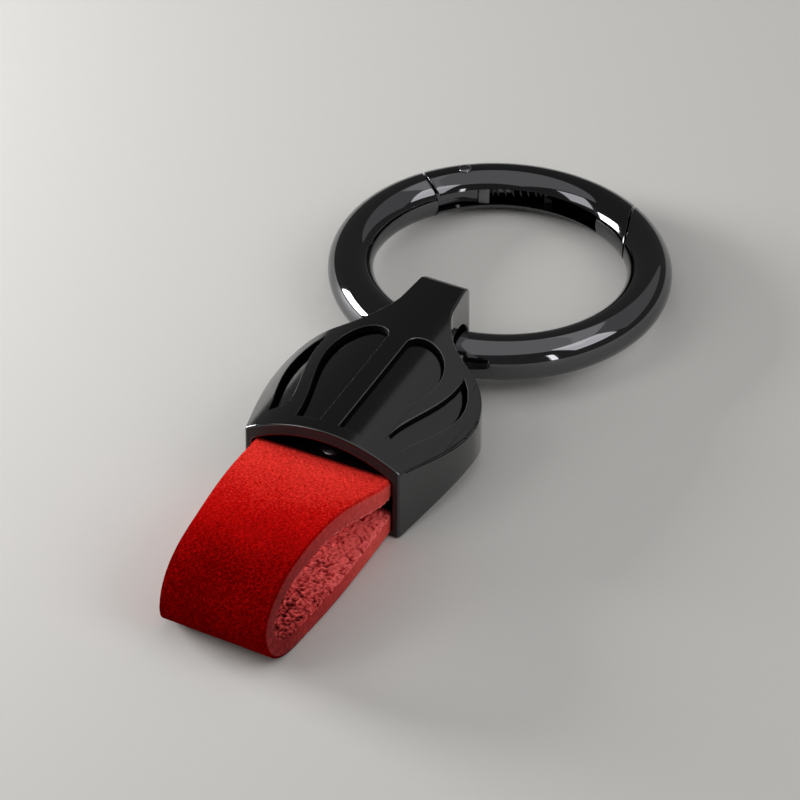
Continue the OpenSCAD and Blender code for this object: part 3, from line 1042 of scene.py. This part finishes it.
@dataclass
class GateRing:
    """The ring wire, the hollow gate, and what is inside the gate."""

    seat: RingFrame
    wire_r: float = 2.25 * MM
    latch_deg: float = 55.0
    slant_deg: float = 50.0
    tail_r: float = 4.1 * MM
    seam_gap: float = 0.15 * MM
    sides: int = 72
    tongue_t: float = 1.6 * MM
    tongue_hw: float = 1.3 * MM
    cam_l: float = 1.35 * MM
    channel_hh: float = 0.95 * MM
    channel_out: float = 1.7 * MM
    channel_end_deg: float = 67.0
    pin_r: float = 0.65 * MM
    pin_clear: float = 0.05 * MM
    spring_reach: float = 8.0 * MM
    spring_start: float = 2.61 * MM
    spring_length: float = 5.31 * MM
    seam_round: float = 0.12 * MM
    seam_strips: int = 9

    def latch_angle(self, rho: float, gate_side: bool) -> float:
        """Angle round the ring at which the slanted seam meets a radius.

        Args:
            rho: Distance from the axis of the ring, in metres.
            gate_side: Whether the gate's or the ring's side of the gap is meant.

        Returns:
            The angle in radians.
        """
        normal = math.radians(self.latch_deg + self.slant_deg + 90)
        gap = self.seam_gap / 2 * (1 if gate_side else -1)
        reach = self.seat.ring_r * math.cos(math.radians(self.latch_deg) - normal) + gap
        return normal - math.acos(reach / rho)

    def tail_angle(self, rho: float, radius: float) -> float:
        """Angle round the ring at which the round hinge seam meets a distance from the axis.

        Args:
            rho: Distance from the axis of the ring, in metres.
            radius: Radius of the seam about the pin.

        Returns:
            The angle in radians.
        """
        r = self.seat.ring_r
        return self.seat.pin_angle + math.acos((rho**2 + r**2 - radius**2) / (2 * rho * r))

    def wire(self, name: str, start: float, end: float, rings: int) -> bpy.types.Object:
        """Spin a round wire about the axis of the ring, open at both ends.

        Args:
            name: Name of the piece.
            start: First angle in radians.
            end: Last angle in radians.
            rings: Number of steps between them.

        Returns:
            The open tube, in the frame of the ring.
        """
        deselect_all()
        bpy.ops.mesh.primitive_circle_add(
            vertices=self.sides, radius=self.wire_r, fill_type="NOTHING",
            location=(self.seat.ring_r, 0, 0), rotation=(math.pi / 2, 0, 0))
        tube = started(name)
        tube.data.transform(Matrix.Rotation(start, 4, "Z"))
        edit(tube)
        bpy.ops.mesh.select_all(action="SELECT")
        bpy.ops.mesh.spin(steps=rings, angle=end - start, center=(0, 0, 0), axis=(0, 0, -1))
        bpy.ops.object.mode_set(mode="OBJECT")
        return tube

    def fit_end(self, tube: bpy.types.Object, at: float, spread: tuple[float, float],
                target: Callable[[float], float]) -> None:
        """Slide the vertices near one end of a wire along their circles onto a seam.

        Args:
            tube: The wire, in the frame of the ring.
            at: Angle of that end in radians.
            spread: Angles over which a slide to a larger and to a smaller angle fades out;
                their sign points into the wire.
            target: Gives the angle of the seam for a distance from the axis.
        """
        for vertex in tube.data.vertices:
            rho = math.hypot(vertex.co.x, vertex.co.y)
            slide = target(rho) - at
            angle = math.atan2(vertex.co.y, vertex.co.x)
            away = ((angle - at + math.pi) % (2 * math.pi) - math.pi)
            away /= spread[0] if slide > 0 else spread[1]
            if -0.02 <= away < 1:
                turn = slide * (1 - max(away, 0))
                vertex.co = Matrix.Rotation(turn, 3, "Z") @ vertex.co

    def cap_and_round(self, tube: bpy.types.Object, ends: Iterable[float]) -> None:
        """Close the open ends of a wire and round the edges there.

        Args:
            tube: The wire, open at its ends.
            ends: Angles near which its ends are, in radians.
        """
        for at in ends:
            def rim(edge: bmesh.types.BMEdge) -> bool:
                """Say whether an edge is on the open end near this angle."""
                spot = edge.verts[0].co
                away = math.atan2(spot.y, spot.x) - at
                return edge.is_boundary and abs((away + math.pi) % (2 * math.pi) - math.pi) < 0.4

            edit(tube)
            select_where(tube, Element.EDGE, rim)
            bpy.ops.mesh.edge_face_add()
            bpy.ops.object.mode_set(mode="OBJECT")
        edit(tube)
        select_where(tube, Element.EDGE,
                     lambda e: any(len(f.verts) > 20 for f in e.link_faces))
        bpy.ops.mesh.bevel(offset=self.seam_round, segments=3, affect="EDGES", clamp_overlap=True)
        bpy.ops.object.mode_set(mode="OBJECT")

    def rule_seam(self, tube: bpy.types.Object, at: float) -> None:
        """Split the round seam face at the hinge into flat strips along the hinge axis.

        Args:
            tube: The wire, with its ends closed, in the frame of the ring.
            at: Angle of that end in radians.
        """
        outward = Vector((math.cos(at), math.sin(at), 0))
        middle = outward * self.seat.ring_r

        def at_seam(face: bmesh.types.BMFace) -> bool:
            """Say whether this is the big face at this end."""
            return len(face.verts) > 20 and (face.calc_center_median() - middle).length < self.wire_r

        edit(tube)
        select_where(tube, Element.FACE, at_seam)
        mesh = bmesh.from_edit_mesh(tube.data)
        for face in mesh.faces:
            face.smooth = face.select
        bmesh.update_edit_mesh(tube.data)
        for step in range(-self.seam_strips, self.seam_strips + 1):
            select_where(tube, Element.FACE, lambda face: face.smooth)
            bpy.ops.mesh.bisect(plane_co=middle + outward * (step / self.seam_strips * self.wire_r),
                                plane_no=outward)
        bpy.ops.object.mode_set(mode="OBJECT")

    def hinge_place(self, lean: float = 0.0) -> Matrix:
        """Frame at the pin: X outwards, -Y along the gate, turned inwards by lean."""
        spot = Matrix.Translation((self.seat.ring_r, 0, 0))
        return (Matrix.Rotation(self.seat.pin_angle, 4, "Z") @ spot
                @ Matrix.Rotation(-lean, 4, "Z"))

    def pin_cutter(self, radius: float) -> bpy.types.Object:
        """Make a cylinder through the wire at the pin.

        Args:
            radius: Radius of the cylinder.

        Returns:
            The cutter, in the frame of the ring.
        """
        deselect_all()
        bpy.ops.mesh.primitive_cylinder_add(vertices=48, radius=radius, depth=4 * self.wire_r)
        cutter = started("pin_cutter")
        cutter.data.transform(self.hinge_place())
        return cutter

    def box(self, name: str, low: Vector, high: Vector, place: Matrix,
            rounding: float) -> bpy.types.Object:
        """Make a block with rounded edges between two corners.

        Args:
            name: Name of the block.
            low: Its lowest corner.
            high: Its highest corner.
            place: The frame that the corners are in.
            rounding: Width of its rounded edges.

        Returns:
            The block, in the frame of the ring.
        """
        deselect_all()
        bpy.ops.mesh.primitive_cube_add(size=1, location=(low + high) / 2)
        block = bpy.context.active_object
        block.scale = high - low
        started(name)
        bevel_sharp(block, rounding, 3, 30)
        block.data.transform(place)
        return block

    def tongue(self) -> bpy.types.Object:
        """Make the flat hinge tongue with its round end and cam.

        Returns:
            The tongue, in the frame of the ring.
        """
        r, half = self.seat.ring_r, self.tongue_hw
        lean = math.asin(self.spring_reach / (2 * r))
        back = 2 * math.asin((self.tail_r + 0.8 * MM) / (2 * r))
        place = self.hinge_place()
        steps = 10
        points = []
        for i in range(steps + 1):
            a = self.seat.pin_angle + back * (1 - i / steps)
            points.append(Vector(((r + half) * math.cos(a), (r + half) * math.sin(a), 0)))
        for i in range(1, 13):
            a = -math.pi / 2 * i / 12 - lean * i / 12
            points.append(place @ Vector((half * math.cos(a), half * math.sin(a), 0)))
        cam = self.hinge_place(lean)
        points.append(cam @ Vector((0, -self.cam_l, 0)))
        points.append(cam @ Vector((-half, -self.cam_l, 0)))
        for i in range(1, steps + 1):
            a = self.seat.pin_angle + back * i / steps
            points.append(Vector(((r - half) * math.cos(a), (r - half) * math.sin(a), 0)))
        deselect_all()
        bpy.ops.mesh.primitive_circle_add(vertices=len(points), radius=half, fill_type="NGON")
        plate = started("tongue_plate")
        for vertex, point in zip(plate.data.vertices, points):
            vertex.co = point - Vector((0, 0, self.tongue_t / 2))
        edit(plate)
        bpy.ops.mesh.select_all(action="SELECT")
        bpy.ops.mesh.extrude_region_move(
            TRANSFORM_OT_translate={"value": (0, 0, self.tongue_t)})
        bpy.ops.object.mode_set(mode="OBJECT")
        recalculate(plate)
        bevel_sharp(plate, 0.1 * MM, 2, 50)
        return plate

    def build_ring_wire(self) -> bpy.types.Object:
        """Build the ring between the two seams, with its tongue.

        Returns:
            The finished ring wire, in the row frame.
        """
        start = self.seat.pin_angle + 2 * math.asin((self.tail_r + self.seam_gap)
                                                    / (2 * self.seat.ring_r))
        end = math.radians(self.latch_deg + 360)
        wire = self.wire("ring_wire", start, end, 230)
        tail_fade, latch_fade = math.radians(12), -math.radians(40)
        self.fit_end(wire, start, (tail_fade, tail_fade),
                     lambda rho: self.tail_angle(rho, self.tail_r + self.seam_gap))
        self.fit_end(wire, math.radians(self.latch_deg), (latch_fade, latch_fade),
                     lambda rho: self.latch_angle(rho, False))
        self.cap_and_round(wire, (start, end))
        self.rule_seam(wire, start)
        recalculate(wire)
        plate = self.tongue()
        cut(plate, self.pin_cutter(self.pin_r))
        join(wire, [plate])
        wire.data.transform(self.seat.place)
        shade(wire, 35)
        return wire

    def hollow(self, tube: bpy.types.Object, end: float) -> None:
        """Sink the channel into the inner side of the gate.

        Args:
            tube: The open tube of the gate, in the frame of the ring.
            end: Angle of its end at the hinge, in radians.
        """
        r = self.seat.ring_r
        first = math.radians(self.channel_end_deg)

        def in_channel(face: bmesh.types.BMFace) -> bool:
            """Say whether a face lies in the mouth of the channel."""
            spot = face.calc_center_median()
            return (math.hypot(spot.x, spot.y) < r and abs(spot.z) < self.channel_hh
                    and math.atan2(spot.y, spot.x) > first)

        edit(tube)
        select_where(tube, Element.FACE, in_channel)
        bpy.ops.mesh.extrude_region_move(TRANSFORM_OT_translate={"value": (0, 0, 0)})
        mesh = bmesh.from_edit_mesh(tube.data)
        for vertex in mesh.verts:
            if vertex.select:
                flat = math.hypot(vertex.co.x, vertex.co.y)
                grow = (r + self.channel_out) / flat
                vertex.co = (vertex.co.x * grow, vertex.co.y * grow, vertex.co.z)
        bmesh.update_edit_mesh(tube.data)

        def end_wall(face: bmesh.types.BMFace) -> bool:
            """Say whether a face closes the channel at the hinge seam."""
            return all(abs(math.atan2(v.co.y, v.co.x) - end) < 1e-4 for v in face.verts)

        select_where(tube, Element.FACE, end_wall)
        bpy.ops.mesh.delete(type="FACE")
        bpy.ops.object.mode_set(mode="OBJECT")

    def build_gate(self) -> bpy.types.Object:
        """Build the hollow gate between the seams.

        Returns:
            The finished gate, in the row frame.
        """
        start = math.radians(self.latch_deg)
        end = self.seat.pin_angle + 2 * math.asin(self.tail_r / (2 * self.seat.ring_r))
        tube = self.wire("ring_gate", start, end, 76)
        self.hollow(tube, end)
        tail_fade = -math.radians(12)
        short_fade = math.radians(self.channel_end_deg) - start
        self.fit_end(tube, start, (math.radians(40), short_fade),
                     lambda rho: self.latch_angle(rho, True))
        self.fit_end(tube, end, (tail_fade, tail_fade),
                     lambda rho: self.tail_angle(rho, self.tail_r))
        self.cap_and_round(tube, (start, end))
        self.rule_seam(tube, end)
        recalculate(tube)
        cut(tube, self.pin_cutter(self.pin_r + self.pin_clear))
        lean = math.asin(self.spring_reach / (2 * self.seat.ring_r))
        seat = self.box("spring_seat",
                        Vector((-0.85 * MM, -self.spring_reach - 0.8 * MM, -self.channel_hh)),
                        Vector((self.channel_out + 0.2 * MM, -self.spring_reach, self.channel_hh)),
                        self.hinge_place(lean), 0.05 * MM)
        join(tube, [seat])
        tube.data.transform(self.seat.place)
        shade(tube, 35)
        return tube

    def build_pin(self) -> bpy.types.Object:
        """Build the riveted hinge pin with domed ends.

        Returns:
            The finished pin, in the row frame.
        """
        deselect_all()
        half = self.wire_r + 0.15 * MM
        bpy.ops.mesh.primitive_uv_sphere_add(segments=40, ring_count=20, radius=self.pin_r)
        pin = started("hinge_pin")
        for vertex in pin.data.vertices:
            dome = 0.28 * vertex.co.z
            vertex.co.z = dome + math.copysign(half - 0.28 * self.pin_r, vertex.co.z) \
                if abs(vertex.co.z) > 1e-9 else 0.0
        pin.data.transform(self.seat.place @ self.hinge_place())
        recalculate(pin)
        shade(pin, 50)
        return pin

    def build_spring(self) -> bpy.types.Object:
        """Build the coil spring with a closed turn at each end.

        Returns:
            The finished spring, in the row frame.
        """
        sides, steps = 10, 24
        radius, wire_r = 0.63 * MM, 0.12 * MM
        turns, length, start = 8, self.spring_length - 2 * wire_r, self.spring_start + wire_r
        deselect_all()
        bpy.ops.mesh.primitive_circle_add(
            vertices=sides, radius=wire_r, fill_type="NOTHING", location=(radius, 0, 0),
            rotation=(math.pi / 2, 0, 0))
        coil = started("gate_coil_spring")
        pitch = length / turns
        apply_modifier(coil, "SCREW", axis="Z", steps=steps, render_steps=steps,
                       iterations=turns, screw_offset=pitch, angle=2 * math.pi,
                       use_merge_vertices=False)
        closed = 2.1 * wire_r
        open_pitch = (length - 2 * closed) / (turns - 2)
        for vertex in coil.data.vertices:
            turn = (vertex.index // sides) / steps
            level = closed * min(turn, 1) + open_pitch * min(max(turn - 1, 0), turns - 2)
            level += closed * max(turn - turns + 1, 0)
            vertex.co.z += level - turn * pitch
        edit(coil)
        select_where(coil, Element.EDGE, lambda e: e.is_boundary and e.verts[0].index < sides)
        bpy.ops.mesh.edge_face_add()
        select_where(coil, Element.EDGE, lambda e: e.is_boundary)
        bpy.ops.mesh.edge_face_add()
        bpy.ops.object.mode_set(mode="OBJECT")
        recalculate(coil)
        lean = math.asin(self.spring_reach / (2 * self.seat.ring_r))
        stand = Matrix.Translation((-0.15 * MM, -start, 0)) @ Matrix.Rotation(math.pi / 2, 4, "X")
        coil.data.transform(self.seat.place @ self.hinge_place(lean) @ stand)
        shade(coil, 60)
        return coil

    def build_plunger(self) -> bpy.types.Object:
        """Round the edges of a copy of the plunger.

        Returns:
            The finished plunger.
        """
        plunger = copy_of_node("gate_plunger", "spring_plunger")
        apply_modifier(plunger, "DECIMATE", decimate_type="DISSOLVE",
                       angle_limit=math.radians(0.4))
        bevel_sharp(plunger, 0.08 * MM, 2, 40)
        shade(plunger, 40)
        return plunger

    def build(self, palette: Palette) -> None:
        """Build, dress and place the ring, the gate and the parts of its hinge.

        Args:
            palette: The shared node groups.
        """
        wire = self.build_ring_wire()
        dress(wire, [BLACK_CHROME], palette)
        settle(wire, "ring", "ring_chrome", "ring_body")
        gate = self.build_gate()
        dress(gate, [GATE_CHROME], palette)
        settle(gate, "gate", "gate_chrome", "gate")
        pin = self.build_pin()
        dress(pin, [PIN_STEEL], palette)
        settle(pin, "ring", "pin_steel", "gate_pin")
        plunger = self.build_plunger()
        dress(plunger, [PLUNGER_STEEL], palette)
        settle(plunger, "plunger", "plunger_steel", "gate_plunger")
        spring = self.build_spring()
        dress(spring, [SPRING_STEEL], palette)
        settle(spring, "gate", "spring_steel", "gate_spring")
        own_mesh(spring)


# ---------------------------------------------------------------- studio


@dataclass(frozen=True)
class Softbox:
    """One area light, placed by its direction from the keyring."""

    name: str
    azimuth: float
    elevation: float
    distance: float
    width: float
    height: float
    radiance: float

    def hang(self, target: Vector) -> None:
        """Make the light and point it at the keyring.

        Args:
            target: The point that it looks at.
        """
        data = bpy.data.lights.new(self.name, "AREA")
        data.shape = "RECTANGLE"
        data.size = self.width
        data.size_y = self.height
        data.energy = self.radiance * math.pi * self.width * self.height
        turn, rise = math.radians(self.azimuth), math.radians(self.elevation)
        way = Vector((math.sin(turn) * math.cos(rise), math.cos(turn) * math.cos(rise),
                      math.sin(rise)))
        lamp = bpy.data.objects.new(self.name, data)
        lamp.location = target + way * self.distance
        lamp.rotation_euler = (-way).to_track_quat("-Z", "Y").to_euler()
        bpy.context.scene.collection.objects.link(lamp)


@dataclass
class Studio:
    """Pale floor, soft lights and the camera."""

    eye: Vector = field(default_factory=lambda: Vector((0.3476, -0.6871, 0.6170)))
    target: Vector = field(default_factory=lambda: Vector((0.00098, 0.00359, 0.004)))
    lens: float = 458.2
    ambient: float = 0.1
    softboxes: tuple[Softbox, ...] = (
        Softbox("window", -95, 14, 0.2, 0.085, 0.065, 30),
        Softbox("window_side", -132, 37, 0.9, 0.36, 0.45, 3),
        Softbox("overhead", 130, 84, 0.9, 1.3, 1.3, 0.6),
        Softbox("right_box", 85, 38, 1.0, 0.55, 0.5, 2.6),
        Softbox("right_fill", 35, 42, 0.9, 0.95, 0.75, 0.26),
        Softbox("right_strip", 118, 15, 0.8, 0.06, 0.38, 6),
    )

    def floor(self) -> None:
        """Lay a plain pale floor under the keyring."""
        deselect_all()
        bpy.ops.mesh.primitive_plane_add(size=3)
        ground = started("floor")
        made = bpy.data.materials.new("pale_floor")
        made.use_nodes = True
        tree = made.node_tree
        shader = tree.nodes["Principled BSDF"]
        shader.inputs["Base Color"].default_value = (0.6, 0.59, 0.57, 1)
        shader.inputs["Roughness"].default_value = 0.6
        place = add_node(tree, "TexCoord")
        grain = add_node(tree, "TexNoise", in_Scale=900.0, in_Detail=3.0)
        relief = add_node(tree, "Bump", in_Strength=0.2, in_Distance=0.1 * MM)
        tree.links.new(place.outputs["Object"], grain.inputs["Vector"])
        tree.links.new(grain.outputs[0], relief.inputs["Height"])
        tree.links.new(relief.outputs[0], shader.inputs["Normal"])
        ground.data.materials.append(made)

    def camera(self) -> None:
        """Place the long-lens camera."""
        data = bpy.data.cameras.new("camera")
        data.lens = self.lens
        data.sensor_width = 36
        made = bpy.data.objects.new("camera", data)
        made.location = self.eye
        made.rotation_euler = (self.target - self.eye).to_track_quat("-Z", "Y").to_euler()
        bpy.context.scene.collection.objects.link(made)
        bpy.context.scene.camera = made

    def build(self) -> None:
        """Set up the floor, the lights, the surroundings and the camera."""
        self.floor()
        self.camera()
        for softbox in self.softboxes:
            softbox.hang(self.target)
        world = bpy.data.worlds.new("studio")
        world.use_nodes = True
        backdrop = world.node_tree.nodes["Background"]
        backdrop.inputs["Color"].default_value = (1, 1, 1, 1)
        backdrop.inputs["Strength"].default_value = self.ambient
        bpy.context.scene.world = world
        bpy.context.scene.view_settings.view_transform = "Standard"


def main() -> None:
    """Build the studio and every piece of the keyring."""
    logging.basicConfig(level=logging.INFO, format="%(name)s: %(message)s")
    bpy.context.preferences.edit.use_global_undo = False
    Studio().build()
    palette = Palette()
    EndFitting().build(palette)
    LeatherStrap().build(palette)
    GateRing(RingFrame()).build(palette)


if __name__ == "__main__":
    main()
